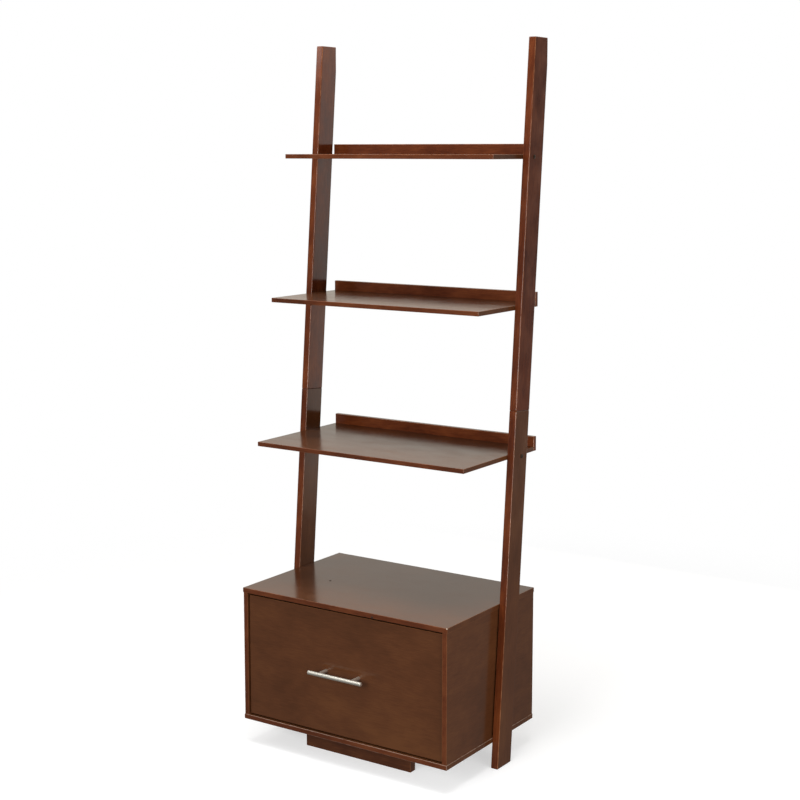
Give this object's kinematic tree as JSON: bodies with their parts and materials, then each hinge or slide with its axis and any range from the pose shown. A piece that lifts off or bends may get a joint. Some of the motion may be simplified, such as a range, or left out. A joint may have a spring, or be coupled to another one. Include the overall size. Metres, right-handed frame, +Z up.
{
  "type": "leaning ladder shelf with file drawer",
  "caption": "Leaning wooden ladder shelf: open shelves that get deeper downwards between slanted posts, over a cabinet with a deep drawer and a metal bar pull",
  "frame": {"origin": "on the floor, in the middle of the outline seen from above", "axes": "+Z up, +X to the right of a person who faces the front, +Y towards the wall"},
  "size_m": [0.6432, 0.436, 1.74],
  "materials": {
    "stained_wood": "dark walnut stain under a satin lacquer",
    "drawer_box_wood": "clear lacquered plywood",
    "back_board": "dark laminated fibreboard",
    "dowel_wood": "unfinished beech",
    "satin_nickel": "satin nickel plate",
    "dark_steel": "dark bronzed screw heads",
    "zinc_steel": "zinc plate, slightly dull",
    "bearing_steel": "polished bearing steel"
  },
  "bodies": {
    "ladder_and_cabinet": {"left_lower_post": "stained_wood", "left_upper_post": "stained_wood", "right_lower_post": "stained_wood", "right_upper_post": "stained_wood", "post_splice_pins": "zinc_steel", "shelf_screws": "dark_steel", "shelf_pins": "zinc_steel", "rail_screws": "zinc_steel", "top_shelf": "stained_wood", "top_shelf_rail": "stained_wood", "middle_shelf": "stained_wood", "middle_shelf_rail": "stained_wood", "lower_shelf": "stained_wood", "lower_shelf_rail": "stained_wood", "cabinet_top": "stained_wood", "cabinet_bottom": "stained_wood", "cabinet_left_side": "stained_wood", "cabinet_right_side": "stained_wood", "cabinet_back": "back_board", "cabinet_cam_locks": "zinc_steel", "cabinet_cam_pins": "zinc_steel", "cabinet_dowels": "dowel_wood", "cabinet_bolts": "zinc_steel", "cabinet_spacers": "zinc_steel", "post_inserts": "zinc_steel", "foot_board": "stained_wood", "foot_board_screws": "zinc_steel", "left_slide_outer": "zinc_steel", "right_slide_outer": "zinc_steel", "slide_cabinet_screws": "zinc_steel"},
    "drawer": {"drawer_front": "stained_wood", "drawer_box_front": "drawer_box_wood", "drawer_box_back": "drawer_box_wood", "drawer_left_side": "drawer_box_wood", "drawer_right_side": "drawer_box_wood", "drawer_bottom": "drawer_box_wood", "front_file_rail": "zinc_steel", "rear_file_rail": "zinc_steel", "drawer_corner_screws": "zinc_steel", "drawer_front_screws": "zinc_steel", "pull_bar": "satin_nickel", "pull_stems": "satin_nickel", "pull_screws": "zinc_steel", "left_slide_inner": "zinc_steel", "right_slide_inner": "zinc_steel", "slide_drawer_screws": "zinc_steel"},
    "left_slide_middle": {"left_slide_middle": "zinc_steel"},
    "left_outer_cage": {"left_outer_cage": "zinc_steel", "left_outer_balls": "bearing_steel"},
    "left_inner_cage": {"left_inner_cage": "zinc_steel", "left_inner_balls": "bearing_steel"},
    "right_slide_middle": {"right_slide_middle": "zinc_steel"},
    "right_outer_cage": {"right_outer_cage": "zinc_steel", "right_outer_balls": "bearing_steel"},
    "right_inner_cage": {"right_inner_cage": "zinc_steel", "right_inner_balls": "bearing_steel"}
  },
  "joints": [
    {"name": "drawer_slide", "type": "slide", "parent": "ladder_and_cabinet", "child": "drawer", "axis": [0, -1, 0], "range_m": [0, 0.34]},
    {"name": "left_slide_middle_slide", "type": "slide", "parent": "ladder_and_cabinet", "child": "left_slide_middle", "axis": [0, -1, 0], "range_m": [0, 0.17]},
    {"name": "left_outer_cage_slide", "type": "slide", "parent": "ladder_and_cabinet", "child": "left_outer_cage", "axis": [0, -1, 0], "range_m": [0, 0.085]},
    {"name": "left_inner_cage_slide", "type": "slide", "parent": "ladder_and_cabinet", "child": "left_inner_cage", "axis": [0, -1, 0], "range_m": [0, 0.255]},
    {"name": "right_slide_middle_slide", "type": "slide", "parent": "ladder_and_cabinet", "child": "right_slide_middle", "axis": [0, -1, 0], "range_m": [0, 0.17]},
    {"name": "right_outer_cage_slide", "type": "slide", "parent": "ladder_and_cabinet", "child": "right_outer_cage", "axis": [0, -1, 0], "range_m": [0, 0.085]},
    {"name": "right_inner_cage_slide", "type": "slide", "parent": "ladder_and_cabinet", "child": "right_inner_cage", "axis": [0, -1, 0], "range_m": [0, 0.255]}
  ],
  "couplings": [
    {"joint": "left_slide_middle_slide", "follows": "drawer_slide", "ratio": 0.5},
    {"joint": "left_outer_cage_slide", "follows": "drawer_slide", "ratio": 0.25},
    {"joint": "left_inner_cage_slide", "follows": "drawer_slide", "ratio": 0.75},
    {"joint": "right_slide_middle_slide", "follows": "drawer_slide", "ratio": 0.5},
    {"joint": "right_outer_cage_slide", "follows": "drawer_slide", "ratio": 0.25},
    {"joint": "right_inner_cage_slide", "follows": "drawer_slide", "ratio": 0.75}
  ]
}
